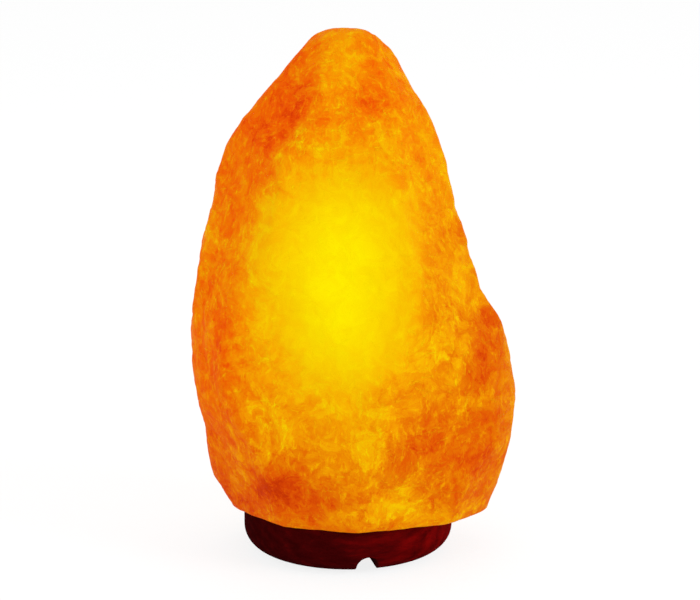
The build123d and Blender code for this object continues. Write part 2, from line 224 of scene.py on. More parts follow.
# turned copies: a grid turned about Z by each of the angles, in degrees
def copiesRound(grid, angles):
    turns = [(math.cos(angle), math.sin(angle)) for angle in np.radians(angles)]
    return [grid @ np.array([[c, s, 0], [-s, c, 0], [0, 0, 1]]) for c, s in turns]


# smooth path through few points: Catmull-Rom, worked out for all steps of a run at once
def smoothPath(points, steps):
    p = np.asarray(points, float)
    p = np.concatenate([2 * p[:1] - p[1:2], p, 2 * p[-1:] - p[-2:-1]])
    t = (np.arange(steps) / steps)[:, None, None]
    a, b, c, d = p[:-3][None], p[1:-2][None], p[2:-1][None], p[3:][None]
    run = 0.5 * (2 * b + (c - a) * t + (2 * a - 5 * b + 4 * c - d) * t**2 + (3 * b - a - 3 * c + d) * t**3)
    return np.concatenate([run.transpose(1, 0, 2).reshape(-1, 3), p[-2:-1]])


# screen colour, 0 to 255, turned to light
def colour(red, green, blue):
    parts = np.array([red, green, blue]) / 255
    light = np.where(parts <= 0.04045, parts / 12.92, ((parts + 0.055) / 1.055) ** 2.4)
    return (*light.tolist(), 1.0)


class Wire:
    # one output socket; sums written on it add Math nodes
    def __init__(self, shading, socket):
        self.shading, self.socket = shading, socket

    __add__ = __radd__ = lambda self, other: self.shading.math("ADD", self, other)
    __mul__ = __rmul__ = lambda self, other: self.shading.math("MULTIPLY", self, other)
    __sub__ = lambda self, other: self.shading.math("SUBTRACT", self, other)
    __rsub__ = lambda self, other: self.shading.math("SUBTRACT", other, self)
    __abs__ = lambda self: self.shading.math("ABSOLUTE", self)


class Shading:
    # the nodes of a material or of the room
    def __init__(self, tree):
        self.tree = tree

    # any node: its type, its sockets' values or links, the output to use, and its settings
    def node(self, kind, sockets=None, out=0, **settings):
        made = self.tree.nodes.new(kind)
        for key, value in settings.items():
            setattr(made, key, value)
        for key, value in (sockets or {}).items():
            self.join(made.inputs[key], value)
        return Wire(self, made.outputs[out])

    def join(self, socket, value):
        if isinstance(value, Wire):
            self.tree.links.new(value.socket, socket)
        else:
            socket.default_value = value

    def math(self, operation, *values):
        return self.node("ShaderNodeMath", dict(enumerate(values)), operation=operation)

    # 1 or more where the thing itself is looked at: by the camera, in a mirror or through glass
    def lookedAt(self):
        rays = self.tree.nodes.new("ShaderNodeLightPath")
        kinds = [Wire(self, rays.outputs["Is " + kind + " Ray"]) for kind in ("Camera", "Glossy", "Transmission")]
        return kinds[0] + kinds[1] + kinds[2]


class Finish(Shading):
    # one material; values that don't vary go straight on its shader's sockets
    def __init__(self, name, **fixed):
        self.material = bpy.data.materials.new(name)
        self.material.use_nodes = True
        super().__init__(self.material.node_tree)
        self.tree.nodes.clear()
        self.shader = self.tree.nodes.new("ShaderNodeBsdfPrincipled")
        self.output = self.tree.nodes.new("ShaderNodeOutputMaterial")
        self.tree.links.new(self.shader.outputs[0], self.output.inputs[0])
        self.feed(**fixed)
        self.place = self.node("ShaderNodeTexCoord", out="Object")

    def feed(self, **sockets):
        for key, value in sockets.items():
            self.join(self.shader.inputs[key.replace("_", " ")], value)
        return self.material

    def axis(self, name):
        return self.node("ShaderNodeSeparateXYZ", {"Vector": self.place}, name)

    def mapped(self, place, scale, turn=(0, 0, 0)):
        return self.node("ShaderNodeMapping", {"Vector": place, "Rotation": turn, "Scale": scale})

    # places moved about by a slow noise, up to half the amount each way
    def warped(self, place, scale, amount):
        drift = self.node("ShaderNodeTexNoise", {"Vector": place, "Scale": scale, "Detail": 2.0}, "Color")
        drift = self.node("ShaderNodeVectorMath", {0: drift, 1: (0.5, 0.5, 0.5)}, operation="SUBTRACT")
        drift = self.node("ShaderNodeVectorMath", {0: drift, "Scale": amount}, operation="SCALE")
        return self.node("ShaderNodeVectorMath", {0: place, 1: drift}, operation="ADD")

    def noise(self, scale, detail=3.0, roughness=0.5, distortion=0.0, place=None):
        sockets = {"Vector": place or self.place, "Scale": scale, "Detail": detail,
                   "Roughness": roughness, "Distortion": distortion}
        return self.node("ShaderNodeTexNoise", sockets, "Fac")

    # 0 at low, 1 at high, smooth between; low may be the larger
    def step(self, value, low, high):
        sockets = {"Value": value, "From Min": low, "From Max": high}
        return self.node("ShaderNodeMapRange", sockets, interpolation_type="SMOOTHSTEP")

    # each stop is a place from 0 to 1, then red, green and blue as on a screen
    def ramp(self, value, *stops):
        made = self.node("ShaderNodeValToRGB", {"Fac": value})
        elements = made.socket.node.color_ramp.elements
        while len(elements) < len(stops):
            elements.new(1)
        for element, (place, *shade) in zip(elements, stops):
            element.position, element.color = place, colour(*shade)
        return made

    def mixed(self, factor, first, second, blend="MIX"):
        return self.node("ShaderNodeMix", {0: factor, 6: first, 7: second}, 2, data_type="RGBA", blend_type=blend)

    def bump(self, height, distance, strength=1.0):
        return self.node("ShaderNodeBump", {"Strength": strength, "Distance": distance, "Height": height})


print("tools ready")

viewTurn = math.radians(-11.5)  # of the crystal's broad face and the camera, about Z
seenLower = 0.268  # how much lower a place is seen for each millimetre nearer or further away


# places seen from the broad face, in millimetres: across to its right, away from it, and up as it is seen
def faceOn(points):
    across = points[..., 0] * math.cos(viewTurn) + points[..., 1] * math.sin(viewTurn)
    away = points[..., 1] * math.cos(viewTurn) - points[..., 0] * math.sin(viewTurn)
    return across / mm, away / mm, points[..., 2] / mm - seenLower * np.abs(away / mm)


# bell: e to the power of minus both distances, each in its own half width, squared; a higher power blunts the second
def bell(across, up, x, z, halfWidth, halfHeight, power=2):
    return np.exp(-(((across - x) / halfWidth) ** 2) - (np.abs(up - z) / halfHeight) ** power)


# salt crystal: a hewn lump with a drilled bore
crystal = dict(
    columns=360, rows=222,
    centreHeight=123.5 * mm,  # the point that the rays leave from
    hardness=85,  # how sharp the facets' edges are
    sliver=4e-6,  # smaller facets give poor directions
    ledgeFrom=(36 * mm, 170 * mm),  # ledge facets lie outside this radius or above this height
    underside=-0.9,  # facets that look down further than this are the sawn face
    warpSize=26 * mm, warpReach=7 * mm, scallopSize=19 * mm, scallopDepth=1.44 * mm, waveSize=34 * mm,
    waveDepth=0.7 * mm, roughSize=7 * mm, roughDepth=0.8 * mm, chipSize=12 * mm,
    chipFrom=0.28,  # the noise above this is flaked away
    chipDepth=2.4 * mm, bottomEdge=3.0 * mm,
    bottomInset=(1.5 * mm, 6.0 * mm),  # how far the lower edge is worn back: at the sides, at the front
    bore=23 * mm, boreTop=165.5 * mm, boreCone=5 * mm, boreTip=9 * mm, boreRows=22,
    # swellings in the photograph's outline: across, height, half width, half height, how far out
    swellings=((-62, 34, 16, 12, 2.4), (-68, 62, 12, 9, -1.3), (74, 78, 18, 38, 1.2), (70, 38, 15, 14, 0.9),
               (48, 166, 11, 15, -1.1)),
)


# the flat facets of the CAD crystal: each as an outward direction and a distance from the ray centre
# hull facets have the whole lump behind them, and the ledge's facets don't
def crystalFacets(mesh, centre):
    spots = np.array([vertex.co for vertex in mesh.vertices])
    corners = spots[[list(triangle.vertices) for triangle in mesh.polygons]]
    normal = np.cross(corners[:, 1] - corners[:, 0], corners[:, 2] - corners[:, 0])
    size = np.linalg.norm(normal, axis=1)
    keep = size > crystal["sliver"]
    normal, corners = normal[keep] / size[keep, None], corners[keep]
    reach = (normal * corners[:, 0]).sum(1)
    ledgeRadius, ledgeHeight = crystal["ledgeFrom"]
    outer = np.hypot(corners[..., 0], corners[..., 1]).min(1) > ledgeRadius
    outer |= corners[..., 2].min(1) > ledgeHeight
    hull = (spots @ normal.T).max(0) <= reach + 4e-5
    ahead = reach - normal @ centre
    found = []
    for mask in (hull, outer & ~hull):
        mask = mask & (normal[:, 2] > crystal["underside"])
        rows = np.column_stack([normal[mask], ahead[mask] * 50])  # one row for all triangles of a facet
        _, first = np.unique(np.round(rows, 2), axis=0, return_index=True)
        found.append((normal[mask][first], ahead[mask][first]))
    return found


# distance along a ray to the lump's skin: 1 / distance is the p-norm of every facet's (direction . ray) / reach,
# and the ledge's facets count together, as the smaller of them
def skinDistance(rays, hull, ledge):
    hullShare = np.clip(rays @ hull[0].T, 0, None) / hull[1]
    ledgeShare = (np.clip(rays @ ledge[0].T, 1e-6, None) / ledge[1]).min(-1)
    shares = np.concatenate([hullShare, ledgeShare[..., None]], -1)
    top = shares.max(-1)
    return 1 / (top * ((shares / top[..., None]) ** crystal["hardness"]).sum(-1) ** (1 / crystal["hardness"]))


# the direction of each ray from its angle round Z and its angle above the horizon
def rayDirections(angle, climb):
    return ringPoints(np.cos(climb), angle, np.sin(climb))


# how far the skin is pushed out: scallops, waves, roughness and chips, each a noise times its depth, and swellings
def skinPush(spots):
    size = crystal
    drift = np.stack([rolling(spots, size["warpSize"], seed) for seed in (71, 72, 73)], -1)
    warped = spots + drift * size["warpReach"]
    push = (scallops(warped, size["scallopSize"], 11) ** 2 - 0.45) * size["scallopDepth"]
    push += layered(warped, size["waveSize"], 3, 21) * size["waveDepth"]
    push += layered(spots, size["roughSize"], 4, 31) * size["roughDepth"]
    push -= np.clip(layered(warped, size["chipSize"], 3, 41) - size["chipFrom"], 0, 1) * size["chipDepth"]
    for *place, out in size["swellings"]:
        push += bell(faceOn(spots)[0], spots[..., 2] / mm, *place) * out * mm
    return push[..., None]


# the skin, from the crown down to the sawn face: rays at even angles, pushed in and out;
# then the sawn face to the bore, the bore's wall and its coned end
def crystalGrid():
    size = crystal
    centre = np.array([0, 0, size["centreHeight"]])
    hull, ledge = crystalFacets(cadNodes["salt_crystal"].data, centre)
    low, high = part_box("salt_crystal")
    sawn = low.z
    angle = ringAngles(size["columns"])
    climbLow, climbHigh = np.full(angle.shape, -1.4), np.full(angle.shape, -0.2)
    for halving in range(30):  # halve the span of climbs until the ray ends on the sawn face
        climb = (climbLow + climbHigh) / 2
        rays = rayDirections(angle, climb)
        under = centre[2] + rays[:, 2] * skinDistance(rays, hull, ledge) < sawn + size["bottomEdge"]
        climbLow, climbHigh = np.where(under, climb, climbLow), np.where(under, climbHigh, climb)
    share = np.linspace(0, 1, size["rows"])[:, None]
    climb = math.pi / 2 + (climbLow[None] - math.pi / 2) * share
    rays = rayDirections(angle, climb)
    spots = centre + rays * skinDistance(rays, hull, ledge)[..., None]
    spots = spots + rays * skinPush(spots)
    spots[0] = spots[0].mean(0)
    spots[..., 2] = np.clip(spots[..., 2], sawn + 0.3 * mm, high.z)
    rows = [spots]

    def ringRow(radius, height):
        rows.append(ringPoints(radius, angle, height)[None])

    rim = spots[-1]
    rimRadius = np.hypot(rim[:, 0], rim[:, 1])
    jag = layered(rim * [1, 1, 0], 5 * mm, 3, 51)
    frontness = np.clip(-faceOn(rim)[1] / 60, 0, 1) ** 2
    inset = size["bottomInset"][0] + (size["bottomInset"][1] - size["bottomInset"][0]) * frontness
    ringRow(rimRadius - inset * 0.22, rim[:, 2] * 0.45 + sawn * 0.55 + 0.3 * mm * jag)
    ringRow(rimRadius - inset * 0.6, rim[:, 2] * 0.1 + sawn * 0.9 + 0.2 * mm * (1 + jag))
    ringRow(rimRadius - inset - 0.6 * mm * jag, sawn)
    bore, boreTop = size["bore"], size["boreTop"]
    for part in (0.25, 0.6, 0.9):
        ringRow(rimRadius - inset + (bore - rimRadius + inset) * part, sawn)
    for height in np.linspace(sawn, boreTop - size["boreCone"], size["boreRows"]):
        wall = ringPoints(bore, angle, height)
        ringRow(bore + (0.15 + 0.15 * layered(wall * [1, 1, 3], 9 * mm, 3, 61)) * mm, height)
    for radius in (bore - size["boreCone"], size["boreTip"], 0):
        ringRow(radius, boreTop)
    return np.concatenate(rows)


# how bright the salt glows: levels of 255 from deep red to yellow, places in millimetres
glow = dict(
    base=130, baseAbove=16, baseBelow=12, top=236, across=-3.0, up=127.0, width=39.5,
    upper=(55.5, 3.2),  # reach and steepness above the brightest place
    lower=(62.0, 2.6),
    rightDim=18,  # a band right of the brightest place is less bright
    leftEdge=((10, -55), (72, -56), (124, -53.5), (147, -50), (164, -42), (193, -31), (205, -26), (216, -17),
              (250, -13)),
    leftLevel=((10, 92), (50, 98), (72, 110), (124, 113), (150, 124), (180, 112), (205, 94), (245, 96)),
    leftShare=0.92,
    # behind: the level, and the levels in a bell round the bore and in one on each flank, which counts from the side
    rear=138, rearTop=228, flankTop=205, rearBell=(-4, 108, 40, 56, 2.6), flankBell=(24, 118, 21, 46, 2.4),
    # clouds on the broad face: across, up, half width, half height, level, how much
    clouds=(
        (-4, 231, 11, 9, 168, 0.8), (10, 213, 15, 9, 118, 0.75), (-20, 218, 6, 12, 97, 0.5), (33, 188, 5, 5, 130, 0.6),
        (46, 150, 8, 15, 146, 0.7), (64, 96, 9, 25, 104, 0.95), (52, 50, 27, 22, 104, 0.85), (24, 75, 15, 7, 142, 0.6),
        (-22, 24, 23, 10, 90, 0.9), (30, 48, 9, 8, 112, 0.8),
    ),
    # thinner and thicker places: across, up, half width, half height, brighter by
    depths=(
        (-34, 34, 13, 10, -38), (-52, 26, 16, 16, -18), (-23, 44, 6, 6, -28), (-42, 60, 15, 11, -24),
        (-51, 95, 8, 22, -18), (17, 20, 19, 12, 32), (42, 16, 14, 8, 18), (53, 127, 6, 12, 30),
        (64, 121, 6, 6, 24), (-25, 200, 12, 14, -25), (-13, 207, 8, 6, -16), (17, 236, 13, 22, -18),
        (25, 178, 7, 10, -15), (45, 180, 6, 20, 16), (43, 104, 7, 14, -19), (34, 63, 7, 6, -18),
        (62, 64, 8, 7, -20), (-51, 208, 5, 7, 18), (-60, 111, 5, 10, 15), (72, 34, 6, 6, 14),
        (-37, 196, 8, 6, 12), (-33, 174, 6, 7, -14), (42, 27, 19, 5, -15), (43, 46, 12, 7, -11), (-43, 53, 10, 8, -11),
    ),
)


# the level of glow at a place: the base level, raised by a bell round the brightest place, lowered left of an
# uneven edge, then pulled toward each cloud's level by a bell of its own, and shifted by a bell at each thin place;
# behind, a rolling level with a bell round the bore and one on each flank
def glowLevel(points):
    across, away, up = faceOn(points)
    wander = layered(points, 24 * mm, 4, 91)
    fine = layered(points, 6 * mm, 3, 95)
    level = glow["base"] + glow["baseAbove"] * smoothStep(60, 190, up) - glow["baseBelow"] * smoothStep(60, 10, up)
    level += 14 * wander
    side = (across - glow["across"]) / glow["width"]
    over, under = glow["upper"], glow["lower"]
    rise = np.clip(up - glow["up"], 0, None) / over[0]
    drop = np.clip(glow["up"] - up, 0, None) / under[0]
    level += (glow["top"] - level) * np.exp(-(side**2) - rise ** over[1] - drop ** under[1])
    rightBand = smoothStep(31, 36, across + 3 * wander) * smoothStep(100, 115, up) * smoothStep(195, 180, up)
    level -= glow["rightDim"] * rightBand
    edge = np.interp(up, *zip(*glow["leftEdge"])) + 7 * wander + 4 * fine
    leftLevel = np.interp(up, *zip(*glow["leftLevel"])) + 12 * wander + 6 * fine
    level += (leftLevel - level) * smoothStep(7, -6, across - edge) * glow["leftShare"]
    for x, z, halfWidth, halfHeight, wanted, amount in glow["clouds"]:
        square = ((across - x + 4 * wander) / halfWidth) ** 2 + ((up - z + 3 * fine) / halfHeight) ** 2
        level += (wanted + 6 * wander - level) * amount * np.exp(-(square**1.3))
    for *place, change in glow["depths"]:
        level += change * bell(across, up, *place)
    rear = glow["rear"] + 34 * layered(points, 38 * mm, 4, 101) + 16 * fine
    rear += (glow["rearTop"] - rear) * bell(across, up, *glow["rearBell"]) * 0.92
    flank = bell(away, points[..., 2] / mm, *glow["flankBell"]) * smoothStep(45, 58, np.abs(across))
    rear += (glow["flankTop"] - rear) * flank * 0.8
    level += (rear - level) * smoothStep(2, 26, away + 5 * wander)
    return level / 255


# crisp clouds on the broad face: across, up, half width, half height, tilt in degrees
brightPatches = (
    (-36, 58, 14, 19, 12), (-49, 34, 5, 6, 30), (8, 50, 10, 13, -20), (20, 22, 19, 9, 8),
    (20, 67, 13, 3.2, 4), (53, 72, 5, 7, -15), (33, 89, 7, 5, 20), (58, 22, 9, 4, 15),
    (-62, 152, 5, 13, -8), (44, 105, 8, 16, -12), (-12, 68, 9, 6, 35), (30, 224, 16, 3, -16),
)
darkPatches = (
    (-34, 31, 13, 9, 0), (-50, 20, 10, 6, -30), (66, 112, 8, 6, -35), (61, 84, 6, 15, 12),
    (36, 54, 15, 8, 6), (-22, 210, 5, 15, -24), (-39, 196, 9, 7, -40), (12, 212, 13, 5, -10),
    (-58, 110, 4, 22, 4), (48, 156, 6, 7, 10), (6, 27, 10, 5, 0), (60, 44, 12, 9, 20),
)
patchWander = (9 * mm, 2.2)  # the noise that frays the patches: its size, and its reach in millimetres


# how far inside the nearest patch a place is: 1 less its distance from the middle in half widths and half heights;
# behind, a rolling noise takes the patches' place
def patchDepth(points, patches, seed):
    across, away, up = faceOn(points)
    size, reach = patchWander
    across = across + reach * layered(points, size, 3, seed)
    up = up + reach * layered(points, size, 3, seed + 5)
    depth = np.full(across.shape, -1.0)
    for x, z, halfWidth, halfHeight, tilt in patches:
        c, s = math.cos(math.radians(tilt)), math.sin(math.radians(tilt))
        along, beside = (across - x) * c + (up - z) * s, (up - z) * c - (across - x) * s
        depth = np.maximum(depth, 1 - np.hypot(along / halfWidth, beside / halfHeight))
    rear = (layered(points * [1, 1, 0.7], 27 * mm, 4, seed + 9) - 0.16) * 2.2
    return np.where(away < 8, depth, np.maximum(rear, -1))


# salt: one level of glow from red to yellow, clouded, veined and flecked; most of its light is its own
def saltFinish():
    salt = Finish("saltStone", Specular_IOR_Level=0.012, Emission_Strength=0.66, Specular_Tint=colour(255, 180, 90))
    level, bright, dark = (salt.node("ShaderNodeAttribute", out="Fac", attribute_name=name)
                           for name in ("glowLevel", "brightDepth", "darkDepth"))
    swirl = salt.warped(salt.place, 38, 0.016)
    shaped = salt.noise(78, 6, 0.64, 0.5, swirl)
    brightCloud = salt.step((shaped - 0.5) * 4.0 + bright * 1.7, 0.30, 0.42)
    shapedDark = salt.noise(84, 6, 0.64, 0.5, salt.warped(salt.place, 31, 0.018))
    darkCloud = salt.step((shapedDark - 0.5) * 4.2 + dark * 1.6, 0.34, 0.50)
    bank = salt.step(salt.noise(100, 5, 0.6, 0.8, swirl), 0.50, 0.56)
    mist = salt.noise(150, 4, 0.55, 0.6, swirl)
    grain = salt.noise(1100, 3, 0.6)
    terrace = salt.math("FRACT", salt.noise(88, 4, 0.5, 1.6, swirl) * 4.5)

    # a stretched noise: veins run where it is near a half, and flakes lie where it is high
    def strokes(scale, roughness, distortion, warpScale, warpAmount, stretch, turn):
        place = salt.mapped(salt.warped(salt.place, warpScale, warpAmount), stretch, turn)
        return salt.noise(scale, 3, roughness, distortion, place)

    stroke = strokes(330, 0.6, 0.7, 55, 0.012, (1.0, 1.0, 0.30), (0.25, -0.3, 0.2))
    veins = 1 - salt.step(abs(stroke - 0.5), 0.0, 0.032)
    flakes = salt.step(stroke, 0.60, 0.655)
    cross = strokes(300, 0.55, 0.8, 48, 0.014, (0.32, 0.8, 1.0), (0.5, 0.5, 0.7))
    crossVeins = 1 - salt.step(abs(cross - 0.5), 0.0, 0.026)
    crossFlakes = salt.step(cross, 0.62, 0.68)
    fleck = strokes(430, 0.55, 0.8, 90, 0.006, (1.0, 1.0, 0.45), (0.4, 0.3, -0.4))
    where = salt.step(salt.noise(48, 4, 0.6), 0.44, 0.58)  # strokes run one way here and across elsewhere

    dim = 1 - salt.step(level, 0.5, 0.86)
    share = (dim * 0.75 + 0.25) * (salt.step(level, 0.32, 0.46) * 0.3 + 0.7)
    level = level + (brightCloud * 0.085 - darkCloud * 0.065 + bank * 0.06) * share - 0.022
    level = level + (mist - 0.5) * share * 0.44 + (grain - 0.5) * share * 0.03
    level = level + (veins * 0.04 + flakes * 0.11) * where * dim
    level = level + (crossVeins * 0.035 + crossFlakes * 0.10) * (1 - where) * dim
    level = level + (salt.step(fleck, 0.58, 0.64) * 0.095 - salt.step(fleck, 0.42, 0.34) * 0.05) * dim
    level = level + (shaped - 0.5) * dim * (1 - dim) * 0.9 + (terrace - 0.5) * dim * 0.06
    shade = salt.ramp(
        level,
        (0.20, 214, 55, 4), (0.27, 231, 69, 4), (0.36, 243, 93, 4),
        (0.45, 245, 115, 3), (0.55, 247, 140, 3), (0.65, 248, 166, 3),
        (0.75, 248, 192, 3), (0.86, 252, 220, 2), (0.93, 255, 236, 1),
    )
    x, z = (salt.axis(name) for name in "XZ")
    lowRight = salt.step(z - x, 0.19, 0.08)  # less red toward the lower right: partly the salt's duller colour low down, partly painted shade offsetting the key light from +X
    shade = salt.mixed(lowRight * salt.step(level, 0.72, 0.38), shade, (0.87, 1, 1, 1), "MULTIPLY")
    body = salt.mixed(0.72, shade, colour(0, 0, 0))
    flaked = (flakes * where + crossFlakes * (1 - where)) * 0.22
    height = (mist * 0.8 + shaped * 0.6 + grain * 0.2 + flaked + bank * 0.1) * (dim * 0.7 + 0.3)
    return salt.feed(Base_Color=body, Emission_Color=shade, Roughness=mist * 0.25 + 0.48,
                     Normal=salt.bump(height, 0.0022, 0.9))


crystalPoints = crystalGrid()
crystalValues = {
    "glowLevel": glowLevel(crystalPoints),
    "brightDepth": patchDepth(crystalPoints, brightPatches, 201),
    "darkDepth": patchDepth(crystalPoints, darkPatches, 231),
}
crystalMesh = gridMesh("saltLump", [crystalPoints], weld=4e-6, sharp=62, values=crystalValues)
addPiece("saltLump", crystalMesh, "lamp", saltFinish(), "salt_crystal")
print("crystal made:", len(crystalMesh.polygons), "faces")

# wooden base: a turned disc, its lower edge a quarter round, with an arched groove for the cord toward -Y
woodBase = dict(
    radius=49 * mm, lowerRound=10 * mm, topEase=0.8 * mm, bore=23 * mm, boreEase=0.5 * mm, grooveHalf=5.25 * mm,
    grooveHeight=8.2 * mm, columns=240, grooveColumns=24,
)
screwHoles = dict(
    circle=31 * mm,
    # radius, and from where to where above the bottom: the recess of a screw's head, and its shank
    steps=((4.6 * mm, -5 * mm, 6 * mm), (2.2 * mm, -4 * mm, 40 * mm)),
)
baseSharp = 34


# turned profile x angle; inside the groove's width the columns run parallel to its walls, and every height there is
# raised to the arch: the larger of the profile's height and centre height + root of (half width^2 - across^2)
def woodBaseGrid(radius, lowerRound, topEase, bore, boreEase, grooveHalf, grooveHeight, columns, grooveColumns):
    low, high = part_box("wood_base")
    turn = np.radians(np.linspace(-90, 0, 26))
    lower = np.stack([radius - lowerRound + lowerRound * np.cos(turn), low.z + lowerRound * (1 + np.sin(turn))], -1)
    ease = [boreEase] + [0] * len(lower) + [topEase, boreEase]
    profile = finer(easedProfile([[bore, low.z], *lower, [radius, high.z], [bore, high.z]], ease), 1.2 * mm)
    arch = np.radians(np.linspace(-90, 90, grooveColumns))
    archHeight = low.z + grooveHeight - grooveHalf + grooveHalf * np.cos(arch)
    rest = np.linspace(0, 1, columns)  # from the groove's right wall round to its left wall
    radius = profile[:, :1]
    wall = np.arcsin(grooveHalf / radius)
    inside = np.arcsin(np.clip(grooveHalf * np.sin(arch) / radius, -1, 1))
    turnRound = np.concatenate([inside, wall + (2 * math.pi - 2 * wall) * rest], 1) - math.pi / 2
    return ringPoints(radius, turnRound, np.maximum(profile[:, 1:], np.concatenate([archHeight, rest * 0 - 1])))


# plugs for drilling: each a turned profile from point to point on an axis
def screwPlugs(circle, steps):
    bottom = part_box("wood_base")[0].z
    plugs = [turned(ringCut(0, radius, bottom + start, bottom + end), 40) for radius, start, end in steps]
    return [plug + (circle * side, 0, 0) for plug in plugs for side in (1, -1)]


# drills a mesh: the plugs are taken away by an exact boolean, which is then applied
def drilled(mesh, grids):
    work = addObject("drilling", mesh)
    for number, grid in enumerate(grids):
        cut = work.modifiers.new("cut", "BOOLEAN")
        cut.operation, cut.solver = "DIFFERENCE", "EXACT"
        cut.object = addObject("plug" + str(number), gridMesh("plug", [grid]))
    done = bpy.data.meshes.new_from_object(work.evaluated_get(bpy.context.evaluated_depsgraph_get()))
    for extra in [cut.object for cut in work.modifiers] + [work]:
        bpy.data.objects.remove(extra)
    done.set_sharp_from_angle(angle=math.radians(baseSharp))
    return done


# stained wood: dark growth bands under the stain, fine pores along the grain, a satin lacquer
def woodFinish():
    wood = Finish("stainedWood", Specular_IOR_Level=0.0, Coat_Roughness=0.4)
    grainPlace = wood.mapped(wood.place, (9, 46, 60), (0.06, -0.05, 0.3))
    wave = {"Vector": wood.mapped(wood.place, (0.9, 5.0, 7.0), (0.04, 0.03, 0.3)), "Scale": 9.0,
            "Distortion": 4.0, "Detail": 3.0, "Detail Scale": 1.4}
    rings = wood.node("ShaderNodeTexWave", wave, "Fac", wave_type="RINGS", rings_direction="X")
    pores = wood.noise(26, 4, 0.62, 0.2, grainPlace)
    streak = wood.noise(6, 4, 0.6, 0.4, grainPlace)
    cloud = wood.noise(26, 3, 0.5)
    side = wood.axis("X")  # painted light: the wood is paler toward +X, the side the key light falls from
    tone = rings * 0.10 + streak * 0.5 + pores * 0.2 + cloud * 0.3 + side * 3.2
    shade = wood.ramp(tone, (0.34, 46, 1, 2), (0.50, 60, 2, 3), (0.62, 80, 2, 3), (0.78, 108, 4, 4))
    openPore = wood.step(pores, 0.36, 0.30)
    shade = wood.mixed(openPore * 0.5, shade, colour(34, 0, 1))
    return wood.feed(Base_Color=shade, Roughness=0.40 + cloud * 0.16 + openPore * 0.2,
                     Coat_Weight=streak * 0.02, Normal=wood.bump(tone - openPore * 0.8, 0.00014, 0.6))


baseMesh = gridMesh("turnedBase", [woodBaseGrid(**woodBase)], wrapRows=True, sharp=baseSharp)
baseMesh = drilled(baseMesh, screwPlugs(**screwHoles))
addPiece("turnedBase", baseMesh, "lamp", woodFinish(), "wood_base")
print("base made:", len(baseMesh.polygons), "faces")

# felt pads: four discs stuck under the base, their edges rounded and fuzzy
feltPad = dict(
    radius=5.5 * mm, ease=0.35 * mm, circle=31 * mm, angles=(45, 135, 225, 315), fuzz=0.12 * mm,
    fuzzSize=0.5 * mm, fuzzFrom=5 * mm,
)


# one disc, its radius shaken by a noise near the edge, and turned to the four places
def feltGrids(radius, ease, circle, angles, fuzz, fuzzSize, fuzzFrom):
    low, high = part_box("felt_pads")
    disc = lathe(ringCut(0, radius, low.z, high.z), ease, 0.3 * mm, 48, closed=False)
    shake = rolling(disc, fuzzSize, 5) * fuzz * (np.hypot(disc[..., 0], disc[..., 1]) > fuzzFrom)
    disc = disc * (1 + shake[..., None] / radius * [1, 1, 0])
    return copiesRound(disc + [circle, 0, 0], angles)


def feltFinish():
    felt = Finish("padFelt", Specular_IOR_Level=0.1, Sheen_Weight=0.3, Sheen_Roughness=0.5)
    swirl = felt.warped(felt.place, 300, 0.002)
    fibres = felt.noise(1500, 4, 0.7, 1.5, felt.mapped(swirl, (1, 0.35, 1), (0, 0, 0.6)))
    tufts = felt.noise(420, 3, 0.6, 0.5)
    shade = felt.ramp(fibres * 0.7 + tufts * 0.3, (0.35, 24, 21, 19), (0.55, 52, 46, 42), (0.7, 86, 78, 70))
    return felt.feed(Base_Color=shade, Roughness=tufts * 0.1 + 0.88, Normal=felt.bump(fibres + tufts, 0.0002, 0.9))


addPiece("feltPads", gridMesh("feltPads", feltGrids(**feltPad)), "lamp", feltFinish(), "felt_pads")


# metal: a tint with faint clouding, fine drawn lines and small dull spots; roughness follows them
def metalFinish(name, tint, dull, rough, lines, spots=0.3):
    metal = Finish(name, Metallic=1.0)
    drawn = metal.noise(900, 3, 0.6, 0.1, metal.mapped(metal.place, lines))
    cloud = metal.noise(160, 4, 0.6)
    spot = metal.step(metal.noise(700, 4, 0.65), 0.58, 0.7) * spots
    shade = metal.ramp(cloud * 0.7 + drawn * 0.3, (0.32, *dull), (0.62, *tint))
    return metal.feed(Base_Color=metal.mixed(spot, shade, colour(*dull)),
                      Roughness=rough + (drawn - 0.5) * 0.18 + spot * 0.25,
                      Normal=metal.bump(drawn * 0.5 + cloud * 0.5, 0.00004, 0.5))


zincSteel = metalFinish("zincSteel", (208, 206, 198), (160, 158, 150), 0.34, (1, 1, 14))
springSteel = metalFinish("springSteel", (206, 207, 208), (150, 152, 156), 0.26, (14, 14, 1))
rolledBrass = metalFinish("rolledBrass", (226, 192, 116), (176, 134, 70), 0.27, (1, 1, 12), 0.4)
stampedBrass = metalFinish("stampedBrass", (222, 186, 112), (168, 128, 66), 0.33, (10, 1, 1), 0.4)
nickelPlate = metalFinish("nickelPlate", (222, 216, 204), (176, 170, 158), 0.2, (1, 1, 12), 0.25)
tinSolder = metalFinish("tinSolder", (196, 196, 196), (132, 132, 134), 0.42, (1, 1, 1), 0.6)
drawnWire = metalFinish("drawnWire", (186, 182, 176), (130, 124, 118), 0.3, (14, 14, 1))


# ivory moulding: nearly even, with faint flow marks, a fine spark-eroded grain and scattered specks of dust
def mouldingFinish():
    ivory = Finish("ivoryMoulding", Specular_IOR_Level=0.45, Coat_Roughness=0.3)
    flow = ivory.noise(60, 4, 0.55, 1.4)
    grain = ivory.noise(2600, 2, 0.5)
    dust = ivory.step(ivory.noise(520, 4, 0.7), 0.60, 0.72)
    shade = ivory.ramp(flow, (0.3, 232, 226, 210), (0.7, 244, 240, 228))
    return ivory.feed(Base_Color=ivory.mixed(dust * 0.25, shade, colour(190, 180, 160)),
                      Roughness=0.38 + grain * 0.16 + dust * 0.15, Coat_Weight=flow * 0.1,
                      Normal=ivory.bump(grain, 0.00003, 0.6))


